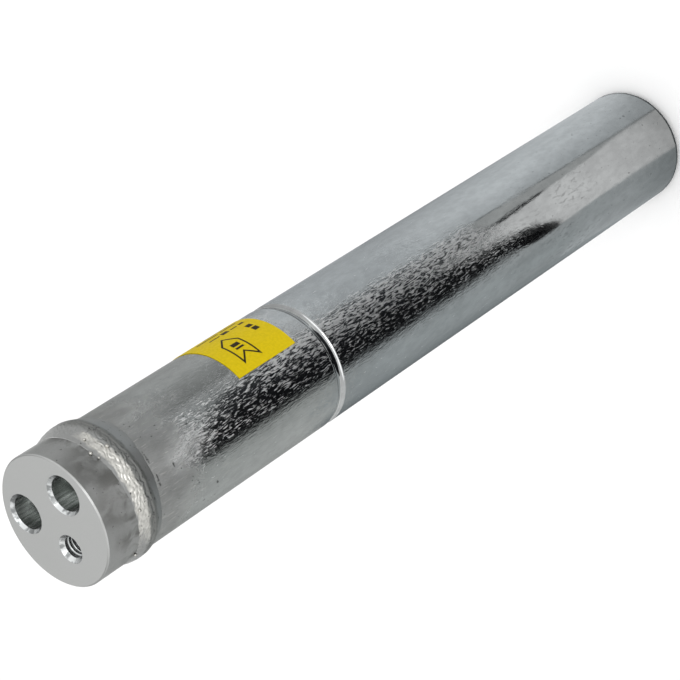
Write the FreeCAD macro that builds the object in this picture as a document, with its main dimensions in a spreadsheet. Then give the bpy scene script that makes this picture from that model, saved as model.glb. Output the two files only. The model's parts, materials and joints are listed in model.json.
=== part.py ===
"""Receiver filter drier: an aluminium canister with a port block welded in its open end.

The part stands on its closed end. +Z runs along the canister to the port face, and the
origin is the centre of the closed end. The threaded hole lies towards -Y and the two
ports lie side by side towards +Y. All sizes are in millimetres and degrees.
"""
import FreeCAD, Part
import Sketcher
import math
import os

doc = FreeCAD.newDocument("filter_drier")
Vector = FreeCAD.Vector
Rotation = FreeCAD.Rotation
subparts = []

# Driving dimensions: name, value and what it sizes
SIZES = [
    ("total_length", 304.0, "closed end to port face"),
    ("tube_dia", 42.0, "outside of the canister and of the port block"),
    ("wall", 2.0, "canister wall"),
    ("end_wall", 3.0, "closed end of the canister"),
    ("corner_radius", 3.5, "outer edge of the closed end"),
    ("inner_corner_radius", 2.5, "inner edge of the closed end"),
    ("groove_width", 3.4, "rolled groove along the tube"),
    ("groove_depth", 0.8, "rolled groove into the tube"),
    ("groove_edge_radius", 0.5, "soft edges of the rolled groove"),
    ("flange_length", 16.8, "full width part of the port block"),
    ("spigot_length", 8.6, "part of the port block inside the tube"),
    ("root_gap", 0.6, "weld gap between block and tube"),
    ("root_bevel", 1.4, "weld bevel on block and tube"),
    ("spigot_chamfer", 0.8, "lead-in of the spigot"),
    ("face_chamfer", 0.45, "outer edge of the port face"),
    ("port_web", 3.8, "metal between a port bore and the outside"),
    ("port_angle", 27.3, "port direction above the X axis"),
    ("port_dia", 10.8, "port bore"),
    ("port_depth", 12.0, "port bore depth"),
    ("port_chamfer", 1.0, "lead-in of the ports"),
    ("inlet_dia", 7.0, "inlet passage into the canister"),
    ("outlet_dia", 6.0, "outlet passage to the pickup tube"),
    ("bolt_offset", 9.05, "threaded hole from the axis"),
    ("bolt_hole_dia", 6.8, "threaded hole, tap drill size"),
    ("bolt_hole_depth", 15.0, "threaded hole"),
    ("bolt_sink_dia", 9.2, "countersink of the threaded hole"),
    ("bolt_sink_angle", 90.0, "countersink of the threaded hole, side to side"),
    ("drill_point_angle", 118.0, "end of the threaded hole"),
    ("weld_width", 13.3, "weld bead along the tube"),
    ("weld_height", 1.4, "weld bead above the tube"),
    ("weld_shift", 0.4, "weld bead stands off centre towards +Y"),
    ("pickup_dia", 8.0, "pickup tube outside"),
    ("pickup_wall", 1.0, "pickup tube wall"),
    ("pickup_inset", 1.0, "pickup tube nearer to the axis than its port"),
    ("pickup_seat", 6.0, "pickup tube inside the port block"),
    ("pickup_bead_width", 3.0, "stop bead along the pickup tube"),
    ("pickup_bead_height", 1.0, "stop bead above the pickup tube"),
    ("pickup_clearance", 0.1, "plate hole round the pickup tube"),
    ("spring_wire", 1.5, "spring wire"),
    ("spring_gap", 0.3, "spring to the rim of the upper plate"),
    ("spring_length", 18.0, "port block to upper plate"),
    ("spring_turns", 3.0, "turns of the spring"),
    ("plate_thickness", 1.0, "perforated plates"),
    ("plate_gap", 0.2, "plate rim to canister wall"),
    ("plate_rim", 4.0, "plate rim height"),
    ("plate_bend", 1.6, "plate corner outside"),
    ("hole_dia", 2.4, "perforation"),
    ("hole_web", 1.4, "least metal between perforation and pickup hole"),
    ("ring_margin", 3.5, "outer ring of perforations from the plate rim"),
    ("ring_pitch", 5.2, "inner ring of perforations from the outer ring"),
    ("outer_ring_holes", 13.0, "perforations in the outer ring"),
    ("inner_ring_holes", 8.0, "perforations in the inner ring"),
    ("screen_thickness", 0.4, "mesh screens"),
    ("pad_thickness", 5.0, "felt pads"),
    ("bed_length", 41.1, "desiccant bed between the felt pads"),
    ("bed_gap", 0.1, "desiccant bed to canister wall"),
    ("strainer_gap", 0.5, "strainer above the closed end"),
    ("strainer_wall", 1.1, "strainer cage wall"),
    ("strainer_floor", 1.2, "strainer cage end"),
    ("strainer_window", 12.0, "strainer cage between its end and the pickup tube"),
    ("strainer_land", 1.0, "solid ring at each end of the windows"),
    ("strainer_opening", 4.6, "strainer cage windows, across"),
    ("strainer_socket", 6.0, "strainer cage on the pickup tube"),
    ("strainer_mesh", 0.3, "strainer mesh thickness"),
    ("sticker_gap", 8.1, "rolled groove to the lower edge of the sticker"),
    ("sticker_width", 25.6, "sticker along the tube"),
    ("sticker_length", 52.0, "sticker round the tube"),
    ("sticker_start", 19.0, "first edge of the sticker round from the X axis"),
    ("sticker_thickness", 0.12, "sticker"),
    ("sticker_glue", 0.05, "adhesive between sticker and canister"),
]

sheet = doc.addObject("Spreadsheet::Sheet", "Sizes")
for row, (name, value, what) in enumerate(SIZES, start=1):
    sheet.set("A%d" % row, name)
    sheet.set("B%d" % row, str(value))
    sheet.set("C%d" % row, what)
    sheet.setAlias("B%d" % row, name)
doc.recompute()

# Sizes that follow from the driving ones, as expressions
TUBE_R = "Sizes.tube_dia / 2"
BORE_R = "(Sizes.tube_dia / 2 - Sizes.wall)"
PICKUP_R = "Sizes.pickup_dia / 2"
BLOCK_LENGTH = "(Sizes.flange_length + Sizes.spigot_length)"
BLOCK_FOOT = f"(Sizes.total_length - {BLOCK_LENGTH})"
TUBE_END = "(Sizes.total_length - Sizes.flange_length - Sizes.root_gap)"
SPRING_FOOT = f"({BLOCK_FOOT} - Sizes.spring_length)"
UPPER_PLATE = f"({SPRING_FOOT} - Sizes.plate_thickness)"
UPPER_SCREEN = f"({UPPER_PLATE} - Sizes.screen_thickness)"
UPPER_PAD = f"({UPPER_SCREEN} - Sizes.pad_thickness)"
BED = f"({UPPER_PAD} - Sizes.bed_length)"
LOWER_PAD = f"({BED} - Sizes.pad_thickness)"
LOWER_PLATE = f"({LOWER_PAD} - Sizes.screen_thickness)"
GROOVE_TOP = f"({LOWER_PLATE} - Sizes.plate_thickness - Sizes.plate_rim)"
GROOVE_LOW = f"({GROOVE_TOP} - Sizes.groove_width)"
STICKER_FOOT = f"({GROOVE_TOP} + Sizes.sticker_gap)"
PLATE_R = f"({BORE_R} - Sizes.plate_gap)"
OUTER_RING_R = f"({PLATE_R} - Sizes.ring_margin)"
INNER_RING_R = f"({OUTER_RING_R} - Sizes.ring_pitch)"
SPRING_R = f"({PLATE_R} - Sizes.plate_thickness - Sizes.spring_gap - Sizes.spring_wire / 2)"
STRAINER_FOOT = "(Sizes.end_wall + Sizes.strainer_gap)"
STRAINER_R = f"({PICKUP_R} + Sizes.strainer_wall)"
PICKUP_FOOT = f"({STRAINER_FOOT} + Sizes.strainer_floor + Sizes.strainer_window)"
PICKUP_LENGTH = f"({BLOCK_FOOT} + Sizes.pickup_seat - {PICKUP_FOOT})"
BEAD_TOP = f"({BLOCK_FOOT} - {PICKUP_FOOT})"
STICKER_SPAN = "Sizes.sticker_length / (Sizes.tube_dia / 2) * 180 / pi"
PORT_OFFSET = f"({TUBE_R} - Sizes.port_web - Sizes.port_dia / 2)"
PORT_X = f"{PORT_OFFSET} * cos(Sizes.port_angle)"
PORT_Y = f"{PORT_OFFSET} * sin(Sizes.port_angle)"
PICKUP_OFFSET = f"({PORT_OFFSET} - Sizes.pickup_inset)"
PICKUP_X = f"{PICKUP_OFFSET} * cos(Sizes.port_angle)"
PICKUP_Y = f"{PICKUP_OFFSET} * sin(Sizes.port_angle)"


def bulge_radius(width, height):
    """Radius of an arc from its width and how far it stands out."""
    return f"((({width}) / 2)^2 + ({height})^2) / (2 * {height})"


def value_of(expression):
    """The present value of an expression."""
    value = sheet.evalExpression(expression)
    return float(getattr(value, "Value", value))


def new_body(label, height="0", turn="0", beside=("0", "0")):
    """A body named after its piece, placed by expressions and turned about Z."""
    body = doc.addObject("PartDesign::Body", label)
    body.Label = label
    body.Placement = FreeCAD.Placement(Vector(0, 0, 0), Rotation(Vector(0, 0, 1), 1))
    body.setExpression("Placement.Base.x", beside[0])
    body.setExpression("Placement.Base.y", beside[1])
    body.setExpression("Placement.Base.z", height)
    body.setExpression("Placement.Rotation.Angle", turn)
    subparts.append(body)
    return body


def origin_feature(body, role):
    """One of the body's own origin planes or axes."""
    return next(feature for feature in body.Origin.OriginFeatures if feature.Role == role)


def new_sketch(body, name, role="XZ_Plane", shift=None):
    """A sketch on one of the body's own origin planes, shifted along its normal if asked."""
    sketch = body.newObject("Sketcher::SketchObject", name)
    sketch.AttachmentSupport = (origin_feature(body, role), [""])
    sketch.MapMode = "FlatFace"
    if shift:
        sketch.setExpression("AttachmentOffset.Base.z", shift)
    return sketch


def bind(sketch, kind, *elements, text):
    """Adds a constraint whose value follows an expression."""
    index = sketch.addConstraint(Sketcher.Constraint(kind, *elements, value_of(text)))
    sketch.setExpression(f"Constraints[{index}]", text)


def outline(sketch, points, arcs=()):
    """A closed outline. Each point is a pair of expressions: across and up.

    An arc is (number of its first point, radius expression, side), where side is 1 if
    its centre lies left of the way the outline runs, and -1 if it lies right.
    """
    places = [Vector(value_of(x), value_of(y), 0) for x, y in points]
    arcs = {first: (radius, side) for first, radius, side in arcs}
    count = len(points)
    ends = []
    for i in range(count):
        start, end = places[i], places[(i + 1) % count]
        if i not in arcs:
            sketch.addGeometry(Part.LineSegment(start, end))
            ends.append((1, 2))
            continue
        radius, side = value_of(arcs[i][0]), arcs[i][1]
        left = Vector(start.y - end.y, end.x - start.x, 0).normalize()
        rise = math.sqrt(max(radius ** 2 - (start.distanceToPoint(end) / 2) ** 2, 0))
        centre = (start + end) * 0.5 + left * side * rise
        turns = [math.atan2(place.y - centre.y, place.x - centre.x) for place in (start, end)]
        whole = Part.Circle(centre, Vector(0, 0, 1), radius)
        sketch.addGeometry(Part.ArcOfCircle(whole, *turns[::side]))
        ends.append((1, 2)[::side])
    for i in range(count):
        follower = (i + 1) % count
        sketch.addConstraint(
            Sketcher.Constraint("Coincident", i, ends[i][1], follower, ends[follower][0]))
        bind(sketch, "DistanceX", -1, 1, i, ends[i][0], text=points[i][0])
        bind(sketch, "DistanceY", -1, 1, i, ends[i][0], text=points[i][1])
    for i, (radius, side) in arcs.items():
        bind(sketch, "Radius", i, text=radius)


def circle(sketch, x, y, diameter):
    """A circle whose centre and diameter follow expressions."""
    centre = Vector(value_of(x), value_of(y), 0)
    index = sketch.addGeometry(Part.Circle(centre, Vector(0, 0, 1), value_of(diameter) / 2))
    bind(sketch, "DistanceX", -1, 1, index, 3, text=x)
    bind(sketch, "DistanceY", -1, 1, index, 3, text=y)
    bind(sketch, "Diameter", index, text=diameter)


def revolve(body, sketch, name, angle="360"):
    """Turns a sketch about its own upright axis."""
    feature = body.newObject("PartDesign::Revolution", name)
    feature.Profile = sketch
    feature.ReferenceAxis = (sketch, ["V_Axis"])
    feature.setExpression("Angle", angle)
    return feature


def pad(body, sketch, name, length):
    """Raises a sketch along its normal."""
    feature = body.newObject("PartDesign::Pad", name)
    feature.Profile = sketch
    feature.setExpression("Length", length)
    return feature


def pocket(body, sketch, name, depth=None, upwards=False, both_ways=False):
    """Cuts a sketch down into the body, or up, or right through when no depth is given."""
    feature = body.newObject("PartDesign::Pocket", name)
    feature.Profile = sketch
    feature.Reversed = upwards
    feature.Midplane = both_ways
    if depth:
        feature.setExpression("Length", depth)
    else:
        feature.Type = "ThroughAll"
    return feature


def repeat(body, feature, name, count, angle):
    """Repeats a feature round the body's Z axis, the last copy at the full angle."""
    pattern = body.newObject("PartDesign::PolarPattern", name)
    pattern.Originals = [feature]
    pattern.Axis = (origin_feature(body, "Z_Axis"), [""])
    pattern.setExpression("Occurrences", count)
    pattern.setExpression("Angle", angle)
    body.Tip = pattern
    return pattern


def round_edges(feature, radius, height, centre=(0, 0)):
    """The circular edges of a feature with this radius, height and centre."""
    names = []
    for number, edge in enumerate(feature.Shape.Edges, start=1):
        curve = edge.Curve
        if not isinstance(curve, Part.Circle):
            continue
        middle = curve.Center
        miss = math.hypot(middle.x - centre[0], middle.y - centre[1])
        if max(abs(curve.Radius - radius), abs(middle.z - height), miss) < 1e-4:
            names.append(f"Edge{number}")
    if not names:
        raise RuntimeError(f"no edge of radius {radius:.3f} at {height:.3f}")
    return names


def dress(body, kind, name, base, edges, amount):
    """A fillet or a chamfer on named edges, with its size from an expression."""
    feature = body.newObject("PartDesign::" + kind, name)
    feature.Base = (base, edges)
    feature.setExpression("Radius" if kind == "Fillet" else "Size", amount)
    return feature


def make_canister():
    """Drawn can with a flat closed end and a groove rolled in from outside.

    The groove pushes a ridge inwards, which the lower perforated plate rests on.
    """
    body = new_body("canister_shell")
    sketch = new_sketch(body, "canister_profile")
    groove_arc = bulge_radius("Sizes.groove_width", "Sizes.groove_depth")
    outline(sketch, [
        ("0", "0"),
        (f"{TUBE_R} - Sizes.corner_radius", "0"),
        (TUBE_R, "Sizes.corner_radius"),
        (TUBE_R, GROOVE_LOW),
        (TUBE_R, GROOVE_TOP),
        (TUBE_R, f"{TUBE_END} - Sizes.root_bevel"),
        (f"{TUBE_R} - Sizes.root_bevel", TUBE_END),
        (BORE_R, TUBE_END),
        (BORE_R, GROOVE_TOP),
        (BORE_R, GROOVE_LOW),
        (BORE_R, "Sizes.end_wall + Sizes.inner_corner_radius"),
        (f"{BORE_R} - Sizes.inner_corner_radius", "Sizes.end_wall"),
        ("0", "Sizes.end_wall"),
    ], arcs=[
        (1, "Sizes.corner_radius", 1),
        (3, groove_arc, -1),
        (8, groove_arc, 1),
        (10, "Sizes.inner_corner_radius", -1),
    ])
    can = revolve(body, sketch, "can")
    doc.recompute()
    lips = round_edges(can, value_of(TUBE_R), value_of(GROOVE_LOW))
    lips += round_edges(can, value_of(TUBE_R), value_of(GROOVE_TOP))
    dress(body, "Fillet", "groove_lips", can, lips, "Sizes.groove_edge_radius")


def make_port_block():
    """Turned block with two ports, a threaded hole and a seat for the pickup tube."""
    body = new_body("port_block", BLOCK_FOOT)
    sketch = new_sketch(body, "block_profile")
    outline(sketch, [
        ("0", "0"),
        (f"{BORE_R} - Sizes.spigot_chamfer", "0"),
        (BORE_R, "Sizes.spigot_chamfer"),
        (BORE_R, "Sizes.spigot_length"),
        (f"{TUBE_R} - Sizes.root_bevel", "Sizes.spigot_length"),
        (TUBE_R, "Sizes.spigot_length + Sizes.root_bevel"),
        (TUBE_R, f"{BLOCK_LENGTH} - Sizes.face_chamfer"),
        (f"{TUBE_R} - Sizes.face_chamfer", BLOCK_LENGTH),
        ("0", BLOCK_LENGTH),
    ])
    revolve(body, sketch, "turned_block")

    ports = new_sketch(body, "port_circles", "XY_Plane", BLOCK_LENGTH)
    circle(ports, PORT_X, PORT_Y, "Sizes.port_dia")
    circle(ports, "-" + PORT_X, PORT_Y, "Sizes.port_dia")
    pocket(body, ports, "port_bores", "Sizes.port_depth")

    inlet = new_sketch(body, "inlet_circle", "XY_Plane", BLOCK_LENGTH)
    circle(inlet, "-" + PORT_X, PORT_Y, "Sizes.inlet_dia")
    pocket(body, inlet, "inlet_passage")

    outlet = new_sketch(body, "outlet_circle", "XY_Plane", BLOCK_LENGTH)
    circle(outlet, PICKUP_X, PICKUP_Y, "Sizes.outlet_dia")
    pocket(body, outlet, "outlet_passage")

    seat = new_sketch(body, "pickup_seat_circle", "XY_Plane")
    circle(seat, PICKUP_X, PICKUP_Y, "Sizes.pickup_dia")
    drilled = pocket(body, seat, "pickup_seat", "Sizes.pickup_seat", upwards=True)
    doc.recompute()

    mouths = []
    for side in (-1, 1):
        centre = (side * value_of(PORT_X), value_of(PORT_Y))
        mouths += round_edges(drilled, value_of("Sizes.port_dia / 2"), value_of(BLOCK_LENGTH), centre)
    dress(body, "Chamfer", "port_lead_ins", drilled, mouths, "Sizes.port_chamfer")

    bolt = new_sketch(body, "bolt_circle", "XY_Plane", BLOCK_LENGTH)
    circle(bolt, "0", "-Sizes.bolt_offset", "Sizes.bolt_hole_dia")
    doc.recompute()
    hole = body.newObject("PartDesign::Hole", "threaded_hole")
    hole.Profile = bolt
    hole.DepthType = "Dimension"
    hole.setExpression("Diameter", "Sizes.bolt_hole_dia")
    hole.setExpression("Depth", "Sizes.bolt_hole_depth")
    hole.DrillPoint = "Angled"
    hole.setExpression("DrillPointAngle", "Sizes.drill_point_angle")
    hole.HoleCutType = "Countersink"
    hole.HoleCutCustomValues = True
    hole.setExpression("HoleCutDiameter", "Sizes.bolt_sink_dia")
    hole.setExpression("HoleCutCountersinkAngle", "Sizes.bolt_sink_angle")


def make_weld():
    """Girth weld: a root that fills the bevels, under a cap that stands off centre."""
    body = new_body("girth_weld", "Sizes.total_length - Sizes.flange_length - Sizes.root_gap / 2")
    cap = new_sketch(body, "cap_profile", shift="-Sizes.weld_shift")
    outline(cap, [
        ("0", "-Sizes.weld_width / 2"),
        (TUBE_R, "-Sizes.weld_width / 2"),
        (TUBE_R, "Sizes.weld_width / 2"),
        ("0", "Sizes.weld_width / 2"),
    ], arcs=[(1, bulge_radius("Sizes.weld_width", "Sizes.weld_height"), 1)])
    revolve(body, cap, "cap")
    clear = new_sketch(body, "tube_circle", "XY_Plane")
    circle(clear, "0", "0", "Sizes.tube_dia")
    pocket(body, clear, "tube_clearance", both_ways=True)
    root = new_sketch(body, "root_profile")
    outline(root, [
        (BORE_R, "-Sizes.root_gap / 2"),
        (f"{TUBE_R} - Sizes.root_bevel", "-Sizes.root_gap / 2"),
        (TUBE_R, "-Sizes.root_gap / 2 - Sizes.root_bevel"),
        (TUBE_R, "Sizes.root_gap / 2 + Sizes.root_bevel"),
        (f"{TUBE_R} - Sizes.root_bevel", "Sizes.root_gap / 2"),
        (BORE_R, "Sizes.root_gap / 2"),
    ])
    revolve(body, root, "root")


def make_sticker():
    """Flow direction sticker, wrapped part of the way round the canister."""
    body = new_body("flow_sticker", STICKER_FOOT, "Sizes.sticker_start")
    sketch = new_sketch(body, "sticker_profile")
    inner = f"({TUBE_R} + Sizes.sticker_glue)"
    outer = f"{inner} + Sizes.sticker_thickness"
    outline(sketch, [(inner, "0"), (outer, "0"), (outer, "Sizes.sticker_width"),
                     (inner, "Sizes.sticker_width")])
    revolve(body, sketch, "wrapped_sheet", STICKER_SPAN)


def make_pickup_tube():
    """Tube from the outlet port down to the strainer, with a stop bead below the block."""
    body = new_body("pickup_tube", PICKUP_FOOT, beside=(PICKUP_X, PICKUP_Y))
    sketch = new_sketch(body, "pickup_profile")
    inside = f"{PICKUP_R} - Sizes.pickup_wall"
    outline(sketch, [
        (inside, "0"),
        (PICKUP_R, "0"),
        (PICKUP_R, f"{BEAD_TOP} - Sizes.pickup_bead_width"),
        (PICKUP_R, BEAD_TOP),
        (PICKUP_R, PICKUP_LENGTH),
        (inside, PICKUP_LENGTH),
    ], arcs=[(2, bulge_radius("Sizes.pickup_bead_width", "Sizes.pickup_bead_height"), 1)])
    revolve(body, sketch, "beaded_tube")


def make_strainer():
    """Moulded cage pushed on the foot of the pickup tube, and the mesh inside it."""
    cage = new_body("strainer_cage", STRAINER_FOOT, "Sizes.port_angle", (PICKUP_X, PICKUP_Y))
    sketch = new_sketch(cage, "cage_profile")
    length = "(Sizes.strainer_floor + Sizes.strainer_window + Sizes.strainer_socket)"
    outline(sketch, [
        ("0", "0"),
        (STRAINER_R, "0"),
        (STRAINER_R, length),
        (PICKUP_R, length),
        (PICKUP_R, "Sizes.strainer_floor"),
        ("0", "Sizes.strainer_floor"),
    ])
    revolve(cage, sketch, "cage_cup")
    window = new_sketch(cage, "window_shape")
    half = "Sizes.strainer_opening / 2"
    low = "Sizes.strainer_floor + Sizes.strainer_land"
    high = "Sizes.strainer_floor + Sizes.strainer_window - Sizes.strainer_land"
    outline(window, [("-" + half, low), (half, low), (half, high), ("-" + half, high)])
    pair = pocket(cage, window, "window_pair", both_ways=True)
    doc.recompute()
    repeat(cage, pair, "windows", "2", "90")

    mesh = new_body("strainer_mesh", f"{STRAINER_FOOT} + Sizes.strainer_floor",
                    beside=(PICKUP_X, PICKUP_Y))
    rings = new_sketch(mesh, "mesh_circles", "XY_Plane")
    circle(rings, "0", "0", "Sizes.pickup_dia")
    circle(rings, "0", "0", "Sizes.pickup_dia - 2 * Sizes.strainer_mesh")
    pad(mesh, rings, "mesh_sleeve", "Sizes.strainer_window")


def make_spring():
    """Compression spring between the port block and the upper plate."""
    body = new_body("compression_spring", SPRING_FOOT)
    wire = new_sketch(body, "wire_circle")
    circle(wire, SPRING_R, "Sizes.spring_wire / 2", "Sizes.spring_wire")
    doc.recompute()
    coil = body.newObject("PartDesign::AdditiveHelix", "coil")
    coil.Profile = wire
    coil.ReferenceAxis = (wire, ["V_Axis"])
    coil.Mode = "height-turns-angle"
    coil.setExpression("Height", "Sizes.spring_length - Sizes.spring_wire")
    coil.setExpression("Turns", "Sizes.spring_turns")


def make_perforated_plate(label, height, rim_down):
    """Pressed steel cup with two rings of holes that leave out the pickup tube."""
    body = new_body(label, height, "Sizes.port_angle")
    side = -1 if rim_down else 1
    way = "-" if rim_down else ""
    rim_top = f"{way}(Sizes.plate_thickness + Sizes.plate_rim)"
    inside = f"{PLATE_R} - Sizes.plate_thickness"
    sketch = new_sketch(body, "plate_profile")
    outline(sketch, [
        ("0", "0"),
        (f"{PLATE_R} - Sizes.plate_bend", "0"),
        (PLATE_R, f"{way}Sizes.plate_bend"),
        (PLATE_R, rim_top),
        (inside, rim_top),
        (inside, f"{way}Sizes.plate_bend"),
        (f"{PLATE_R} - Sizes.plate_bend", f"{way}Sizes.plate_thickness"),
        ("0", f"{way}Sizes.plate_thickness"),
    ], arcs=[
        (1, "Sizes.plate_bend", side),
        (5, "Sizes.plate_bend - Sizes.plate_thickness", -side),
    ])
    revolve(body, sketch, "pressed_cup")
    passing = new_sketch(body, "pickup_circle", "XY_Plane")
    circle(passing, PICKUP_OFFSET, "0", "Sizes.pickup_dia + 2 * Sizes.pickup_clearance")
    circle(passing, "0", "0", "Sizes.hole_dia")
    pocket(body, passing, "pickup_and_middle_holes", both_ways=True)
    reach = "(Sizes.pickup_dia / 2 + Sizes.hole_dia / 2 + Sizes.hole_web)"
    for ring, radius in (("outer", OUTER_RING_R), ("inner", INNER_RING_R)):
        count = f"Sizes.{ring}_ring_holes"
        cosine = f"({radius}^2 + {PICKUP_OFFSET}^2 - {reach}^2) / (2 * {radius} * {PICKUP_OFFSET})"
        first = f"max(acos(min(1; {cosine})); 180 deg / {count})"
        spot = new_sketch(body, f"{ring}_circle", "XY_Plane")
        circle(spot, f"{radius} * cos({first})", f"{radius} * sin({first})", "Sizes.hole_dia")
        hole = pocket(body, spot, f"{ring}_hole", both_ways=True)
        doc.recompute()
        repeat(body, hole, f"{ring}_ring", count, f"360 deg - 2 * {first}")


def make_disc(label, height, thickness, radius):
    """A flat disc that fills the bore round the pickup tube."""
    body = new_body(label, height, "Sizes.port_angle")
    sketch = new_sketch(body, "disc_circles", "XY_Plane")
    circle(sketch, "0", "0", f"2 * {radius}")
    circle(sketch, PICKUP_OFFSET, "0", "Sizes.pickup_dia")
    pad(body, sketch, "disc", thickness)


def check_document():
    """Stops if any object failed, or a sub-part has no valid shape."""
    doc.recompute()
    for item in doc.Objects:
        if "Invalid" in item.State or "Error" in item.State:
            raise RuntimeError(f"{item.Name} failed: {item.State}")
    for body in subparts:
        if body.Shape.isNull() or not body.Shape.isValid() or not body.Shape.Solids:
            raise RuntimeError(f"{body.Label} has no valid solid")


def write_parts():
    """Writes one STEP file for each sub-part."""
    os.makedirs("parts", exist_ok=True)
    for body in subparts:
        body.Shape.exportStep(os.path.join("parts", body.Label + ".step"))
        print(f"{body.Label}: {body.Shape.Volume:.1f} mm3, {len(body.Shape.Solids)} solid")


make_canister()
make_port_block()
make_weld()
make_sticker()
make_pickup_tube()
make_strainer()
make_spring()
make_perforated_plate("upper_plate", UPPER_PLATE, rim_down=False)
make_perforated_plate("lower_plate", LOWER_PLATE, rim_down=True)
make_disc("upper_screen", UPPER_SCREEN, "Sizes.screen_thickness", BORE_R)
make_disc("lower_screen", LOWER_PLATE, "Sizes.screen_thickness", BORE_R)
make_disc("upper_felt_pad", UPPER_PAD, "Sizes.pad_thickness", BORE_R)
make_disc("lower_felt_pad", LOWER_PAD, "Sizes.pad_thickness", BORE_R)
make_disc("desiccant_beads", BED, f"{UPPER_PAD} - {BED}", f"({BORE_R} - Sizes.bed_gap)")
check_document()
write_parts()
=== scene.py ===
"""Finish of a receiver filter drier: a bare drawn aluminium canister with a turned port
block, a rippled weld bead and a yellow flow sticker, on a pale studio floor.

Everything is in metres. The part stands on its closed end and +Z runs to the port face.
"""
import json
import math

import bmesh
import bpy
from mathutils import Matrix, Quaternion, Vector, noise


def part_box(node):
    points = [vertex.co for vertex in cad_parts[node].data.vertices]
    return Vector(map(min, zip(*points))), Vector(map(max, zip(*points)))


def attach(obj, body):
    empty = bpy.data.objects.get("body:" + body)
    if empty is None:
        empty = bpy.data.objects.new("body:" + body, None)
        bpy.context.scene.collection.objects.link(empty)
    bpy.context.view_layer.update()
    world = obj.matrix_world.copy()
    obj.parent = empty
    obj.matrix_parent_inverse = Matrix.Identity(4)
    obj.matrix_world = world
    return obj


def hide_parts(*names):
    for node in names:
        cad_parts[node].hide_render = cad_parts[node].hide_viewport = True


bl_info = {
    "name": "Filter drier finish",
    "version": (1, 0, 0),
    "blender": (4, 5, 0),
    "location": "View3D > Sidebar > Filter drier",
    "description": "Dresses a receiver filter drier and sets up its studio",
    "category": "Object",
}

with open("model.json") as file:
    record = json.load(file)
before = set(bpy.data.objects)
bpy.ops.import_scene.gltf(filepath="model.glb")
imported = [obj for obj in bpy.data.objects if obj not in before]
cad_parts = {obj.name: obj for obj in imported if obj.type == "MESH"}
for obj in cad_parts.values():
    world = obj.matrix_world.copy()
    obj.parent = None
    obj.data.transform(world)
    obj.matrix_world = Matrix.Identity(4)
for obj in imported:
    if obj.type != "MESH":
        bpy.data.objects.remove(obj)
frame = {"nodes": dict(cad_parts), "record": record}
NODES = frame["nodes"]
MOUNTS = {mount["name"]: mount for mount in frame["record"]["mounts"]}
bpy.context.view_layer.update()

MM = 0.001
BODY = "root"

# Places that follow from the frame
TUBE_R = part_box("canister_shell")[1].x
PORT_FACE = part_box("port_block")[1].z
WELD_LOW, WELD_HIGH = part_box("girth_weld")
WELD_MIDDLE = (WELD_LOW.z + WELD_HIGH.z) / 2
WELD_HALF = (WELD_HIGH.z - WELD_LOW.z) / 2
STICKER_LOW, STICKER_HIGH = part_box("flow_sticker")
STICKER_R = max(vertex.co.xy.length for vertex in NODES["flow_sticker"].data.vertices)
BOLT_HOLE = MOUNTS["clamp_bolt_hole"]
HOLES = ("inlet_port", "outlet_port", "clamp_bolt_hole")

# Heights between which the canister's skin changes
GRAIN_STARTS = (112 * MM, 138 * MM)
HEAT_STARTS = (278 * MM, 298 * MM)
SCRATCHES_START = (262 * MM, 285 * MM)
GROOVE_FOOT = (198.9 * MM, 199.4 * MM)
GROOVE_HEAD = (203.1 * MM, 202.6 * MM)
RUBBED_BELOW = (238 * MM, 220 * MM)
SPECKS_ABOVE = (245 * MM, 262 * MM)
SPECKS_BELOW = (100 * MM, 80 * MM)
# Painted shade for faint wrinkling lies between these heights
WRINKLE_SHADE_START = (45 * MM, 70 * MM)
WRINKLE_SHADE_END = (115 * MM, 100 * MM)
DENTS_START = (40 * MM, 80 * MM)
# Painted shade darkens the canister's colour from the lower height down to the closed end
FOOT_PAINTED_SHADE = (8 * MM, 55 * MM)
FOOT_DULL = (75 * MM, 20 * MM)
# The block's side starts this far from its axis, and the haze of the weld ends this high on it.
# The colours of its holes reach this far outside their walls, and their mouths' this far down.
BLOCK_SIDE = (20.6 * MM, 20.9 * MM)
HAZE_BELOW = (300 * MM, 292 * MM)
LEAD_IN = 1.2 * MM
# Angles in degrees between which the scuffs thin out towards each side, and by how much
THINNED = [(-14, -21, 0.12), (17, 35, 0.2)]
# Burn marks on the block: degrees round it, millimetres up it, and radius in millimetres
BURNS = [(25, 299, 11), (-12, 300, 9), (12, 296, 6), (-40, 298, 5)]
# Soot marks on the tube, given in the same way, and how much flatter than round they are
SMUTS = [(-15, 280.6, 1.7), (-10, 280.5, 1.1), (5, 280.7, 1.6), (10, 280.6, 1.2), (-9, 273.5, 1.3)]
SMUT_FLATTENING = 3

# Heights at the weld: both edges of the painted highlight strip and of the painted shade on the toe on the
# tube
HIGHLIGHT_STRIP_FOOT = (288.8 * MM, 289.6 * MM)
HIGHLIGHT_STRIP_HEAD = (293.4 * MM, 292.6 * MM)
TOE_SHADE_FOOT = (285.4 * MM, 286.4 * MM)
TOE_SHADE_HEAD = (290.5 * MM, 288.5 * MM)
# Along Y, where the strip's edges rise, and along X, where the painted light on the side of the bead facing
# +X begins
HIGHLIGHT_STRIP_RISES = (4 * MM, 15 * MM)
PAINTED_LIGHT_FROM = (17 * MM, 25 * MM)
# Drops of weld metal on the bead: degrees round it, millimetres up, out from the tube and across
DROPS = [(33, 293.9, 0.4, 1.2), (29.5, 289.0, 1.45, 1.3), (26, 293.3, 0.6, 0.8), (46, 291.5, 0.9, 0.8)]

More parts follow.
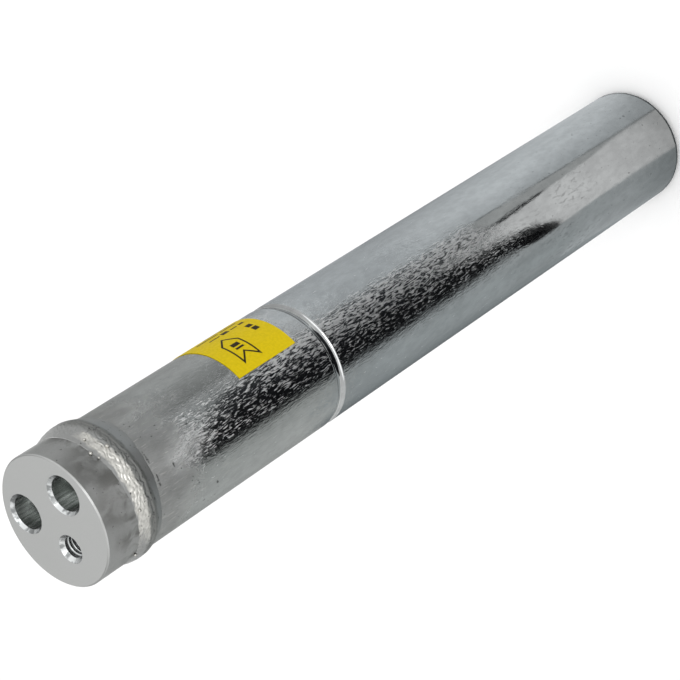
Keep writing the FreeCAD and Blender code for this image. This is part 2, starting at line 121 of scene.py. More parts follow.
# Shape of the bead. Across it, -1 is its foot on the tube and 1 its top on the block. The
# flanks are powers, and the root is a little narrower than the bead.
FOOT_FLANK = 2.3
TOP_FLANK = 1.7
COARSE_WAVE = 3.2 * MM
FINE_WAVE = 1.3 * MM
ROUGH_GRAIN = 0.9 * MM
RIPPLES_START = (-0.12, 0.06)
RIPPLES_END = (0.84, 0.66)
TRENCH_PLACE = -0.06
TRENCH_WIDTH = 0.06
ROOT_SHARE = 0.9


def radians(*angles):
    """Angles in radians, from degrees."""
    return [math.radians(angle) for angle in angles]


def on_tube(angle, level, out=0.0):
    """A point on the tube: degrees round it, then millimetres up it and out from it."""
    radius, turn = TUBE_R + out * MM, math.radians(angle)
    return Vector((radius * math.cos(turn), radius * math.sin(turn), level * MM))


def linear(code):
    """Linear colour from an sRGB hex value."""
    parts = [int(code[i:i + 2], 16) / 255 for i in (0, 2, 4)]
    return [part / 12.92 if part <= 0.04045 else ((part + 0.055) / 1.055) ** 2.4 for part in parts]


def colour_property(name, code, text):
    """A colour that a user can change, with an sRGB hex value as its default."""
    return bpy.props.FloatVectorProperty(
        name=name, description=text, default=linear(code), subtype="COLOR", min=0, max=1)


def length_property(name, millimetres, text):
    """A length that a user can change, with its default in millimetres."""
    return bpy.props.FloatProperty(
        name=name, description=text, default=millimetres * MM, unit="LENGTH", precision=5)


class DrierFinish(bpy.types.PropertyGroup):
    """Colours of the surfaces."""

    drawn: colour_property("Drawn aluminium", "B5B7B7", "Canister between the scuffs")
    scuffed: colour_property("Scuffed aluminium", "E0E0E0", "Fine scuffs along the canister")
    turned: colour_property("Turned aluminium", "838483", "Port block")
    reamed: colour_property("Reamed bores", "DEE0DF", "Walls of the holes")
    drag: colour_property("Drag marks", "9EA29F", "Streaks that the reamer left")
    lead_in: colour_property("Lead-ins", "9EA0A0", "Mouths of the holes")
    chatter: colour_property("Chatter marks", "666868", "Dark marks in the mouths of the holes")
    thread: colour_property("Thread", "969898", "Thread in the bolt hole")
    heated: colour_property("Heated aluminium", "909190", "Dull metal on both sides of the weld")
    tint: colour_property("Heat tint", "666664", "Grey haze beside the weld")
    # weld gives the bead's strip its painted highlight, and the tube its bright scratches
    weld: colour_property("Weld metal", "C8C7C2", "Bright ripples of the bead")
    weld_shade: colour_property("Weld shade", "ADACA7", "Darker metal between the ripples")
    # toe is painted shade on the bead's edge on the tube
    toe: colour_property("Weld toe", "777876", "Dark edge of the bead on the tube")
    soot: colour_property("Soot", "4A4A4A", "Dark specks beside the weld")
    label: colour_property("Label yellow", "D7BD00", "Flow sticker")
    ink: colour_property("Printing ink", "241D0A", "Arrow and marks on the sticker")
    steel: colour_property("Plated steel", "A7A59F", "Perforated plates")
    wire: colour_property("Spring wire", "6C6F73", "Compression spring")
    felt: colour_property("Felt", "DAD6CA", "Filter pads")
    beads: colour_property("Desiccant", "C2A27C", "Desiccant beads")
    nylon: colour_property("Nylon", "E4E0D4", "Strainer cage")


class DrierWeld(bpy.types.PropertyGroup):
    """Sizes of the girth weld."""

    crown: length_property("Crown", 1.4, "Height of the bead above the tube")
    shift: length_property("Shift", 0.4, "Bead off centre towards +Y")
    root_radius: length_property("Root radius", 19.6, "Inner radius of the modelled bead")
    pitch: length_property("Ripple pitch", 3.7, "One ripple to the next round the tube")
    slant: bpy.props.FloatProperty(
        name="Ripple slant", description="Rise along the canister for one step round it",
        default=0.36, min=0.05)
    depth: length_property("Ripple depth", 0.17, "Valleys between the ripples")
    waviness: length_property("Waviness", 0.45, "Uneven edge of the bead")
    around: bpy.props.IntProperty(
        name="Steps round", description="Mesh steps round the tube", default=720, min=90)
    across: bpy.props.IntProperty(
        name="Steps across", description="Mesh steps across the bead", default=96, min=8)
    spatter: bpy.props.IntProperty(
        name="Spatter", description="Small balls of weld metal beside the bead", default=7, min=0)
    spatter_size: length_property("Spatter size", 0.55, "Radius of the largest ball")


class DrierThread(bpy.types.PropertyGroup):
    """Sizes of the thread in the clamp bolt hole."""

    pitch: length_property("Pitch", 1.25, "One thread turn to the next")
    height: length_property("Height", 0.5, "Thread ridge above the wall of the hole")
    sides: bpy.props.IntProperty(
        name="Steps per turn", description="Mesh steps in each turn", default=48, min=12)


class DrierSticker(bpy.types.PropertyGroup):
    """Sizes of the print on the flow sticker."""

    line: length_property("Line width", 0.62, "Outline of the arrow")
    ink: length_property("Ink", 0.02, "Thickness of the print")
    tip_angle: bpy.props.FloatProperty(
        name="Arrow tip", description="Direction of the arrow's tip round the canister",
        default=math.radians(63.5), subtype="ANGLE")
    length: length_property("Arrow length", 13.7, "Tip to tails, round the canister")
    width: length_property("Arrow width", 7.7, "Across the arrow, along the canister")
    head: length_property("Arrow head", 3.7, "Tip to shoulders")
    notch: length_property("Arrow notch", 3.9, "Depth of the notch between the tails")


class DrierStudio(bpy.types.PropertyGroup):
    """Camera, floor and light."""

    camera_place: bpy.props.FloatVectorProperty(
        name="Camera", description="Where the camera stands",
        default=(510.204 * MM, 38.362 * MM, 634.59 * MM), subtype="TRANSLATION")
    camera_aim: bpy.props.FloatVectorProperty(
        name="Aim", description="Point in the middle of the picture",
        default=(0.111 * MM, -1.418 * MM, 176.746 * MM), subtype="TRANSLATION")
    camera_roll: bpy.props.FloatProperty(
        name="Roll", description="Turn of the camera about its view",
        default=math.radians(123.291), subtype="ANGLE")
    lens: bpy.props.FloatProperty(
        name="Lens", description="Focal length on a 36 mm sensor",
        default=113.832, subtype="DISTANCE_CAMERA")
    floor: length_property("Floor", 8000, "Side of the square floor")
    surround: bpy.props.FloatProperty(
        name="Surround", description="Strength of the white surround as a light", default=0.15, min=0)
    overhead: bpy.props.FloatProperty(
        name="Overhead softbox", description="Power of the wide light above", default=104, unit="POWER")
    key: bpy.props.FloatProperty(
        name="Key light", description="Power of the light beside the camera", default=5.0, unit="POWER")


# The kinds of node with settings, and those used often: Blender's type and its settings
KINDS = {
    "plus": ("ShaderNodeMath", {"operation": "ADD"}),
    "minus": ("ShaderNodeMath", {"operation": "SUBTRACT"}),
    "times": ("ShaderNodeMath", {"operation": "MULTIPLY"}),
    "larger": ("ShaderNodeMath", {"operation": "MAXIMUM"}),
    "above": ("ShaderNodeMath", {"operation": "GREATER_THAN"}),
    "below": ("ShaderNodeMath", {"operation": "LESS_THAN"}),
    "sine": ("ShaderNodeMath", {"operation": "SINE"}),
    "angle": ("ShaderNodeMath", {"operation": "ARCTAN2"}),
    "ramp": ("ShaderNodeMapRange", {"interpolation_type": "SMOOTHSTEP"}),
    "mix": ("ShaderNodeMix", {"data_type": "FLOAT"}),
    "blend": ("ShaderNodeMix", {"data_type": "RGBA"}),
    "noise": ("ShaderNodeTexNoise", {}),
    "bump": ("ShaderNodeBump", {}),
    "axes": ("ShaderNodeSeparateXYZ", {}),
    "point": ("ShaderNodeCombineXYZ", {}),
    "moved": ("ShaderNodeVectorMath", {"operation": "ADD"}),
    "apart": ("ShaderNodeVectorMath", {"operation": "SUBTRACT"}),
    "stretched": ("ShaderNodeVectorMath", {"operation": "MULTIPLY"}),
    "scaled": ("ShaderNodeVectorMath", {"operation": "SCALE"}),
    "length": ("ShaderNodeVectorMath", {"operation": "LENGTH"}),
    "distance": ("ShaderNodeVectorMath", {"operation": "DISTANCE"}),
    "open_cylinder": ("GeometryNodeMeshCylinder", {"fill_type": "NONE"}),
    "delete_points": ("GeometryNodeDeleteGeometry", {"domain": "POINT"}),
    "random": ("FunctionNodeRandomValue", {"data_type": "FLOAT"}),
}


def feed(tree, node, *values, **named):
    """Gives a node's inputs their values, in turn or by name with _ for a space.

    A value that is a socket is linked, and of a node its first output in use is linked.
    """
    in_turn = zip([socket for socket in node.inputs if socket.enabled], values)
    by_name = [(node.inputs[name.replace("_", " ")], value) for name, value in named.items()]
    for socket, value in (*in_turn, *by_name):
        if isinstance(value, bpy.types.Node):
            value = next(output for output in value.outputs if output.enabled)
        if isinstance(value, bpy.types.NodeSocket):
            tree.links.new(value, socket)
        elif socket.type == "RGBA":
            socket.default_value = (*value[:3], 1)
        else:
            socket.default_value = value


def add(tree, kind, *values, **named):
    """Adds a node with its settings and links. kind is a name in KINDS or Blender's type."""
    kind, settings = KINDS.get(kind, (kind, {}))
    node = tree.nodes.new(kind)
    for name, value in settings.items():
        setattr(node, name, value)
    feed(tree, node, *values, **named)
    return node


def new_material(name, **settings):
    """A material, its node tree, its shader and its object coordinates."""
    material = bpy.data.materials.new(name)
    material.use_nodes = True
    tree = material.node_tree
    shader = tree.nodes["Principled BSDF"]
    feed(tree, shader, **settings)
    place = add(tree, "ShaderNodeTexCoord").outputs["Object"]
    return material, tree, shader, place


def speckle(tree, place, size, stretch=(1, 1, 1), detail=2, distortion=0.0, turn=(0, 0, 0)):
    """Noise whose grains are about size metres across, stretched along the axes."""
    shrink = [1 / part for part in stretch]
    laid = add(tree, "ShaderNodeMapping", Vector=place, Scale=shrink, Rotation=turn)
    return add(tree, "noise", Vector=laid, Scale=0.5 / size, Detail=detail, Distortion=distortion)


def band(tree, value, foot, head):
    """1 between a foot and a head, each given as the two ends of a soft edge, and 0 outside."""
    return add(tree, "times", add(tree, "ramp", value, *foot), add(tree, "ramp", value, *head))


def drawn_aluminium(finish):
    """Bare drawn aluminium, crumpled to a fine grain along the tube by the draw.

    The skin mirrors its surround, so dark bands show in it, and each grain tilts the
    mirror a little, which breaks a band into dark and light streaks. The foot kept the
    smooth skin of the die, and its colour darkens towards the closed end as painted shade.
    Above the foot, dark marks in the colour are painted shade that stands in for faint wrinkling.
    The rolled groove is smooth too, and its colour darkens towards +Y as painted shade.
    Welding left the port end dull, with scratches, specks and soot.
    """
    material, tree, shader, place = new_material("drawn_aluminium", Metallic=1.0)
    axes = add(tree, "axes", place).outputs
    height = axes["Z"]
    around = add(tree, "angle", axes["Y"], axes["X"])
    patch = speckle(tree, place, 5 * MM, (1, 1, 2.5), 3)
    ragged = add(tree, "plus", height, add(tree, "times", patch, 40 * MM))
    # Towards +Y the grain starts 12 mm higher
    later = add(tree, "minus", ragged, add(tree, "ramp", around, *radians(5, 18), 0, 12 * MM))
    grained = add(tree, "ramp", later, *GRAIN_STARTS)
    heated = add(tree, "ramp", ragged, *HEAT_STARTS)
    rolled = band(tree, height, GROOVE_FOOT, GROOVE_HEAD)
    smooth = add(tree, "minus", 1.0, rolled)

    # The streaks wander by up to 0.75 mm each way instead of running straight
    wander = add(tree, "noise", Vector=place, Scale=0.5 / (2.5 * MM), Detail=2).outputs["Color"]
    drift = add(tree, "scaled", add(tree, "apart", wander, (0.5, 0.5, 0.5)), Scale=1.5 * MM)
    bent = add(tree, "moved", place, drift)
    coarse = speckle(tree, bent, 0.27 * MM, (1, 1, 5), 4, 0.3, (0.15, 0, 0))
    fine = speckle(tree, bent, 0.17 * MM, (1, 1, 7), 2, 0, (0.12, 0, 0))
    rubbed = add(tree, "times", add(tree, "ramp", around, *radians(-14, 18), 0, 0.08),
                 add(tree, "ramp", height, *RUBBED_BELOW))
    for start, end, loss in THINNED:
        rubbed = add(tree, "minus", rubbed, add(tree, "ramp", around, *radians(start, end), 0, loss))
    grains = add(tree, "times", add(tree, "plus", coarse, fine), 0.5)
    scuffs = add(tree, "ramp", add(tree, "plus", grains, rubbed), 0.495, 0.625)
    scuffs = add(tree, "times", scuffs, add(tree, "times", grained, smooth))
    tone = add(tree, "blend", scuffs, finish.drawn, finish.scuffed)
    tone = add(tree, "blend", heated, tone, finish.heated)

    specks = add(tree, "ramp", speckle(tree, place, 0.5 * MM, (1, 1, 1.6), 2), 0.69, 0.74)
    where = add(tree, "larger", add(tree, "ramp", height, *SPECKS_ABOVE),
                add(tree, "ramp", height, *SPECKS_BELOW, 0, 0.5))
    tone = add(tree, "blend", add(tree, "times", specks, where), tone, finish.soot)
    flattened = add(tree, "stretched", place, (1, 1, SMUT_FLATTENING))
    for angle, level, radius in SMUTS:
        gap = add(tree, "distance", flattened, on_tube(angle, level * SMUT_FLATTENING))
        smut = add(tree, "times", add(tree, "ramp", gap, radius * MM, radius * 0.5 * MM, 0, 0.9),
                   add(tree, "ramp", coarse, 0.35, 0.55))
        tone = add(tree, "blend", smut, tone, finish.soot)
    scratches = speckle(tree, place, 0.16 * MM, (1, 1, 14), 3, 0.6, (0.6, 0, 0))
    scratches = add(tree, "times", add(tree, "ramp", scratches, 0.58, 0.74),
                    add(tree, "ramp", ragged, *SCRATCHES_START, 0, 0.5))
    tone = add(tree, "blend", scratches, tone, finish.weld)

    low = add(tree, "plus", height, add(tree, "times", patch, 20 * MM))
    waves = speckle(tree, bent, 0.55 * MM, (1, 1, 3), 3, 0.2, (0.5, 0, 0))
    # Painted shade: dark marks above the foot stand in for the shade of faint wrinkling
    painted_wrinkle_shade = band(tree, height, WRINKLE_SHADE_START, WRINKLE_SHADE_END)
    for part in (add(tree, "ramp", around, *radians(16, 8)),
                 add(tree, "ramp", patch, 0.4, 0.6, 0.15, 1),
                 add(tree, "ramp", waves, 0.5, 0.68, -0.05, 0.3)):
        painted_wrinkle_shade = add(tree, "times", painted_wrinkle_shade, part)
    # Painted shade: the groove's colour darkens towards +Y, which dims its bright line there
    groove_painted_shade = add(tree, "times", rolled, add(tree, "ramp", around, *radians(20, 50), 0, 0.3))
    # shade holds tone that differs at random, times the painted shade at the foot, in the wrinkling and in
    # the groove
    shade = add(tree, "ramp", speckle(tree, place, 9 * MM, (1, 1, 3), 4), 0.3, 0.7, 0.88, 1.04)
    for part in (add(tree, "ramp", speckle(tree, place, 1.1 * MM, (1, 1, 2), 3), 0.3, 0.7, 0.93, 1.05),
                 # Painted shade: the colour darkens towards the closed end
                 add(tree, "ramp", low, *FOOT_PAINTED_SHADE, 0.72, 1),
                 add(tree, "minus", 1.0, painted_wrinkle_shade),
                 add(tree, "minus", 1.0, groove_painted_shade)):
        shade = add(tree, "times", shade, part)
    tone = add(tree, "scaled", tone, Scale=shade)

    rough = add(tree, "plus", add(tree, "times", scuffs, 0.48), 0.09)
    rough = add(tree, "plus", rough, add(tree, "ramp", low, *FOOT_DULL, 0, 0.13))
    rough = add(tree, "mix", Factor=heated, A=rough, B=0.42)
    dents = add(tree, "times", add(tree, "ramp", patch, 0.38, 0.62, 0.05, 0.5),
                add(tree, "ramp", height, *DENTS_START, 0.3, 1))
    deep = add(tree, "times", add(tree, "larger", grained, dents), smooth)
    bump = add(tree, "bump", Height=fine, Distance=0.02 * MM, Strength=deep)
    bump = add(tree, "bump", Height=coarse, Distance=0.10 * MM, Strength=deep, Normal=bump)
    feed(tree, shader, Base_Color=tone, Roughness=rough, Normal=bump)
    return material


def turned_aluminium(finish):
    """Aluminium bar turned on a lathe: a satin face with fine rings, reamed ports with
    drag marks, and a side that the welding left dull, mottled and darkened in patches."""
    material, tree, shader, place = new_material("turned_aluminium", Metallic=1.0)
    axes = add(tree, "axes", place).outputs
    flat = add(tree, "point", X=axes["X"], Y=axes["Y"])
    off_axis = add(tree, "length", flat)
    # Real tool marks are 0.1 mm apart, drawn 0.35 mm apart so that they show
    rings = add(tree, "times", add(tree, "plus", off_axis, axes["Z"]), math.tau / (0.35 * MM))
    rings = add(tree, "sine", rings)
    side = add(tree, "ramp", off_axis, *BLOCK_SIDE)
    mottle = speckle(tree, place, 2.2 * MM, (1, 1, 1.3), 5, 0.6)
    haze = add(tree, "times", side, add(tree, "ramp", axes["Z"], *HAZE_BELOW))
    stain = add(tree, "times", haze, add(tree, "ramp", mottle, 0.42, 0.62))
    specks = add(tree, "ramp", speckle(tree, place, 0.45 * MM), 0.70, 0.74)
    tone = add(tree, "blend", side, finish.turned, finish.heated)
    tone = add(tree, "blend", stain, tone, finish.tint)
    for angle, level, radius in BURNS:
        gap = add(tree, "distance", place, on_tube(angle, level))
        burn = add(tree, "times", add(tree, "ramp", gap, radius * MM, 0, 0, 0.9),
                   add(tree, "ramp", mottle, 0.3, 0.6, 0.3, 1))
        tone = add(tree, "blend", add(tree, "times", burn, side), tone, finish.tint)
    tone = add(tree, "blend", add(tree, "times", specks, side), tone, finish.soot)

    walls = {}
    bored = 0.0
    for name in HOLES:
        mouth = MOUNTS[name]["dims"]["r_mm"] * MM + LEAD_IN
        gap = add(tree, "distance", flat, Vector(MOUNTS[name]["pos_m"]).to_2d().to_3d())
        walls[name] = add(tree, "ramp", gap, mouth + 0.2 * MM, mouth + 0.1 * MM)
        bored = add(tree, "larger", bored, walls[name])
    below_face = add(tree, "ramp", axes["Z"], PORT_FACE - 0.02 * MM, PORT_FACE - 0.06 * MM)
    bored = add(tree, "times", bored, below_face)
    drags = add(tree, "ramp", speckle(tree, place, 0.6 * MM, (1, 1, 12), 3), 0.40, 0.60)
    reamed = add(tree, "blend", drags, finish.drag, finish.reamed)
    reamed = add(tree, "blend", walls["clamp_bolt_hole"], reamed, finish.thread)
    marks = add(tree, "ramp", speckle(tree, place, 1.0 * MM, (1, 1, 12), 2), 0.40, 0.56)
    mouths = add(tree, "blend", marks, finish.chatter, finish.lead_in)
    lead_in_foot = PORT_FACE - LEAD_IN
    at_mouth = add(tree, "ramp", axes["Z"], lead_in_foot, lead_in_foot + 0.1 * MM)
    reamed = add(tree, "blend", at_mouth, reamed, mouths)
    tone = add(tree, "blend", bored, tone, reamed)

    grain = speckle(tree, place, 0.2 * MM)
    rough = add(tree, "ramp", grain, 0.3, 0.7, 0.30, 0.40)
    rough = add(tree, "plus", rough, add(tree, "times", side, 0.08))
    rough = add(tree, "mix", Factor=bored, A=rough, B=0.27)
    outside = add(tree, "minus", 1.0, bored)
    bump = add(tree, "bump", Height=add(tree, "times", grain, outside), Distance=0.004 * MM)
    bump = add(tree, "bump", Height=add(tree, "times", rings, outside), Distance=0.002 * MM,
               Normal=bump)
    feed(tree, shader, Base_Color=tone, Roughness=rough, Normal=bump)
    return material


def weld_aluminium(finish):
    """Weld metal: a rippled strip with a painted highlight, bright only on the side facing +X as
    painted light, between a dull toe on the block and a smooth toe on the tube that is darkened as
    painted shade, with soot in a few hollows."""
    material, tree, shader, place = new_material("weld_aluminium", Metallic=1.0)
    axes = add(tree, "axes", place).outputs
    wave = speckle(tree, place, 1.5 * MM, (1, 1, 1), 4)
    level = add(tree, "plus", axes["Z"], add(tree, "times", wave, 2.4 * MM))
    # Towards +Y the strip's foot rises by 1.6 mm and its head by 0.4 mm
    foot, head = [
        add(tree, "minus", level, add(tree, "ramp", axes["Y"], *HIGHLIGHT_STRIP_RISES, 0, rise))
        for rise in (1.6 * MM, 0.4 * MM)]
    # Painted highlight: the strip on the bead's upper slope, towards the block, gets the bright weld colours
    strip = add(tree, "times", add(tree, "ramp", foot, *HIGHLIGHT_STRIP_FOOT),
                add(tree, "ramp", head, *HIGHLIGHT_STRIP_HEAD))
    # Painted light: only the side of the bead that faces +X gets the bright colours, heated metal elsewhere
    painted_light_side = add(tree, "plus", axes["X"], add(tree, "times", wave, 14 * MM))
    painted_light_side = add(tree, "ramp", painted_light_side, *PAINTED_LIGHT_FROM)
    # Painted shade: the toe on the tube gets the dark toe colour
    toe = band(tree, level, TOE_SHADE_FOOT, TOE_SHADE_HEAD)
    dull = add(tree, "blend", toe, finish.heated, finish.toe)
    patches = add(tree, "ramp", speckle(tree, place, 0.5 * MM, detail=3), 0.35, 0.7)
    bright = add(tree, "blend", patches, finish.weld, finish.weld_shade)
    bright = add(tree, "blend", painted_light_side, finish.heated, bright)
    tone = add(tree, "blend", strip, dull, bright)
    hollows = speckle(tree, place, 0.5 * MM, (1, 1, 0.7), 3)
    hollows = add(tree, "plus", hollows, add(tree, "times", toe, 0.06))
    tone = add(tree, "blend", add(tree, "ramp", hollows, 0.66, 0.72), tone, finish.soot)
    rough = add(tree, "mix", Factor=strip, A=0.42, B=0.40)
    grain = speckle(tree, place, 0.4 * MM, detail=3)
    bump = add(tree, "bump", Height=grain, Distance=0.03 * MM)
    feed(tree, shader, Base_Color=tone, Roughness=rough, Normal=bump)
    return material


def spatter_metal(finish):
    """Balls of weld metal that froze in the air: bright and smooth, a little darker in patches."""
    return plain_finish(
        "weld_spatter_aluminium", finish.weld_shade, 0.4 * MM, metallic=1.0, rough=(0.3, 0.45))


def label_paper(finish):
    """Coated yellow label paper: even colour, soft gloss, faint fibre under the coat."""
    material, tree, shader, place = new_material("coated_label_paper", Specular_IOR_Level=0.06)
    fibre = speckle(tree, place, 0.4 * MM, detail=4)
    faded = [part * 0.9 for part in finish.label]
    tone = add(tree, "blend", add(tree, "ramp", fibre, 0.3, 0.7), finish.label, faded)
    rough = add(tree, "ramp", fibre, 0.3, 0.7, 0.42, 0.55)
    bump = add(tree, "bump", Height=fibre, Distance=0.01 * MM)
    feed(tree, shader, Base_Color=tone, Roughness=rough, Normal=bump)
    return material


def printing_ink(finish):
    """Dark brown flexographic ink, slightly uneven where the paper took less of it."""
    material, tree, shader, place = new_material("printing_ink", Specular_IOR_Level=0.12)
    fibre = speckle(tree, place, 0.3 * MM, detail=3)
    thin = [part * 2.2 for part in finish.ink]
    tone = add(tree, "blend", add(tree, "ramp", fibre, 0.4, 0.75), finish.ink, thin)
    rough = add(tree, "ramp", fibre, 0.3, 0.7, 0.4, 0.6)
    feed(tree, shader, Base_Color=tone, Roughness=rough)
    return material


def plain_finish(name, colour, size, stretch=(1, 1, 1), metallic=0.0, rough=(0.4, 0.6), depth=0.02):
    """A finish with grains of one size, which vary its tone, gloss and relief."""
    material, tree, shader, place = new_material(name, Metallic=metallic)
    grain = speckle(tree, place, size, stretch, 4)
    dark = [part * 0.72 for part in colour]
    tone = add(tree, "blend", add(tree, "ramp", grain, 0.35, 0.65), dark, colour)
    gloss = add(tree, "ramp", grain, 0.3, 0.7, *rough)
    bump = add(tree, "bump", Height=grain, Distance=depth * MM)
    feed(tree, shader, Base_Color=tone, Roughness=gloss, Normal=bump)
    return material


def desiccant_beads(finish):
    """Small round desiccant beads, 1.6 mm across: matt tan domes, with painted shade where they meet."""
    material, tree, shader, place = new_material("desiccant_beads", Roughness=0.75)
    cells = add(tree, "ShaderNodeTexVoronoi", Vector=place, Scale=1 / (1.6 * MM))
    # Painted shade: the colour darkens towards the cell edges, where the beads meet
    dark = [part * 0.35 for part in finish.beads]
    tone = add(tree, "blend", add(tree, "ramp", cells, 0.35, 0.7), finish.beads, dark)
    bump = add(tree, "bump", Height=add(tree, "minus", 1.0, cells), Distance=0.5 * MM)
    feed(tree, shader, Base_Color=tone, Normal=bump)
    return material


def woven_wire(finish):
    """Plain woven stainless mesh, wires 0.5 mm apart both ways: bright wires, with painted shade in the gaps.
    """
    material, tree, shader, place = new_material("woven_wire", Metallic=1.0, Roughness=0.4)
    axes = add(tree, "axes", place).outputs
    waves = [add(tree, "sine", add(tree, "times", axes[key], math.tau / (0.5 * MM)))
             for key in ("X", "Y")]
    weave = add(tree, "times", *waves)
    # Painted shade: the colour darkens where the weave dips, between the wires
    dark = [part * 0.3 for part in finish.steel]
    tone = add(tree, "blend", add(tree, "ramp", weave, -0.6, 0.4), dark, finish.steel)
    bump = add(tree, "bump", Height=weave, Distance=0.1 * MM)
    feed(tree, shader, Base_Color=tone, Normal=bump)
    return material


def dress(name, material):
    """Gives a node of the frame its material."""
    mesh = NODES[name].data
    mesh.materials.clear()
    mesh.materials.append(material)


def add_piece(name, mesh, material):
    """A piece of the object, riding on its body."""
    mesh.materials.clear()
    mesh.materials.append(material)
    piece = bpy.data.objects.new(name, mesh)
    bpy.context.scene.collection.objects.link(piece)
    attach(piece, BODY)
    return piece


def baked_piece(name, tree, values, material):
    """Runs a Geometry Nodes tree on an empty mesh and keeps its result as a plain piece."""
    holder = bpy.data.objects.new(name + "_holder", bpy.data.meshes.new(name + "_holder"))
    bpy.context.scene.collection.objects.link(holder)
    modifier = holder.modifiers.new(name, "NODES")
    modifier.node_group = tree
    sockets = {item.name: item.identifier for item in tree.interface.items_tree
               if item.item_type == "SOCKET" and item.in_out == "INPUT"}
    for key, value in values.items():
        modifier[sockets[key]] = value
    evaluated = holder.evaluated_get(bpy.context.evaluated_depsgraph_get())
    mesh = bpy.data.meshes.new_from_object(evaluated)
    mesh.name = name
    bpy.data.objects.remove(holder)
    if not mesh.polygons:
        raise RuntimeError(f"{name} came out empty")
    return add_piece(name, mesh, material)


def new_tree(name, inputs):
    """A geometry tree with named inputs: (name, socket kind)."""
    tree = bpy.data.node_groups.new(name, "GeometryNodeTree")
    for label, kind in inputs:
        tree.interface.new_socket(label, in_out="INPUT", socket_type=kind)
    tree.interface.new_socket("Geometry", in_out="OUTPUT", socket_type="NodeSocketGeometry")
    return tree, tree.nodes.new("NodeGroupInput").outputs


def end_tree(tree, geometry, material):
    """Ends a tree: real geometry with its material."""
    real = add(tree, "GeometryNodeRealizeInstances", Geometry=geometry)
    dressed = add(tree, "GeometryNodeSetMaterial", Geometry=real, Material=material)
    add(tree, "NodeGroupOutput", Geometry=dressed)


def mesh_from(shape, name, smooth=False):
    """The mesh of a finished shape, with its faces turned outwards."""
    bmesh.ops.recalc_face_normals(shape, faces=shape.faces)
    for face in shape.faces:
        face.smooth = smooth
    mesh = bpy.data.meshes.new(name)
    shape.to_mesh(mesh)
    shape.free()
    return mesh


def smooth_step(low, high, value):
    """0 before low and 1 after high, with a smooth step between them."""
    share = min(max((value - low) / (high - low), 0), 1)
    return share * share * (3 - 2 * share)


def bead_height(weld, angle, across):
    """How far the bead stands above the shifted tube surface. across runs from -1 to 1."""
    crown = weld.crown * (1 - across * across) ** (TOP_FLANK if across > 0 else FOOT_FLANK)
    up = across * WELD_HALF
    spot = Vector((math.cos(angle) * TUBE_R, math.sin(angle) * TUBE_R, up))
    wave = noise.noise(spot / COARSE_WAVE) * 0.6 + noise.noise(spot / FINE_WAVE) * 0.4
    # The ripples are slivers that lie nearly along the bead, a whole number round the tube
    turns = round(math.tau * TUBE_R / weld.pitch)
    phase = turns * angle / math.tau + up / (weld.slant * weld.pitch) + wave * 1.5
    valley = abs(phase % 1 * 2 - 1) ** 1.5
    strip = smooth_step(*RIPPLES_START, across) * smooth_step(*RIPPLES_END, across)
    rough = noise.noise(spot / ROUGH_GRAIN) * 0.5 + 0.5
    cut = weld.depth * (valley * strip * (0.4 + 0.8 * rough) + rough * (0.2 + 0.3 * strip))
    # A shallow trench runs along the foot of the ripples
    trench = math.exp(-((across - TRENCH_PLACE + wave * 0.1) / TRENCH_WIDTH) ** 2)
    cut += weld.depth * 0.8 * trench
    cut += weld.waviness * (0.5 + 0.5 * wave) * across ** 4
    return crown - cut


def weld_mesh(weld):
    """The girth weld as one closed ring with ripples on its port side."""
    shape = bmesh.new()
    rows = []
    for i in range(weld.around):
        angle = math.tau * i / weld.around
        way = Vector((math.cos(angle), math.sin(angle), 0))
        row = []
        for j in range(weld.across + 1):
            across = 2 * j / weld.across - 1
            radius = TUBE_R + bead_height(weld, angle, across)
            spot = way * radius + Vector((0, weld.shift, WELD_MIDDLE + across * WELD_HALF))
            row.append(shape.verts.new(spot))
        for side in (1, -1):
            root = Vector((0, 0, WELD_MIDDLE + side * WELD_HALF * ROOT_SHARE))
            row.append(shape.verts.new(way * weld.root_radius + root))
        rows.append(row)
    for i, row in enumerate(rows):
        follower = rows[(i + 1) % len(rows)]
        for j in range(len(row)):
            k = (j + 1) % len(row)
            shape.faces.new((row[j], follower[j], follower[k], row[k]))
    return mesh_from(shape, "girth_weld_bead", smooth=True)


def wrap(spot, radius):
    """Lays a flat point (round the tube, up the tube) on a cylinder."""
    angle = spot[0] / STICKER_R
    return Vector((radius * math.cos(angle), radius * math.sin(angle), spot[1]))


def add_patch(shape, quad, low, high, steps=10):
    """Adds one closed patch of print. quad has four flat corners in turn."""
    corners = [Vector((*corner, 0)) for corner in quad]
    layers = []
    for radius in (low, high):
        rows = []
        for i in range(steps + 1):
            ends = corners[0].lerp(corners[1], i / steps), corners[3].lerp(corners[2], i / steps)
            rows.append([shape.verts.new(wrap(end, radius)) for end in ends])
        layers.append(rows)
    inner, outer = layers
    for i in range(steps):
        shape.faces.new((outer[i][0], outer[i + 1][0], outer[i + 1][1], outer[i][1]))
        shape.faces.new((inner[i][1], inner[i + 1][1], inner[i + 1][0], inner[i][0]))
        for side in (0, 1):
            shape.faces.new((inner[i][side], inner[i + 1][side], outer[i + 1][side], outer[i][side]))
    for i in (0, steps):
        shape.faces.new((inner[i][0], inner[i][1], outer[i][1], outer[i][0]))


def mitred(points, width):
    """The same closed outline, moved inwards by a width."""
    moved = []
    for i, spot in enumerate(points):
        before = (spot - points[i - 1]).normalized()
        after = (points[(i + 1) % len(points)] - spot).normalized()
        normals = [Vector((-way.y, way.x)) for way in (before, after)]
        moved.append(spot + (normals[0] + normals[1]) * width / (1 + normals[0].dot(normals[1])))
    return moved


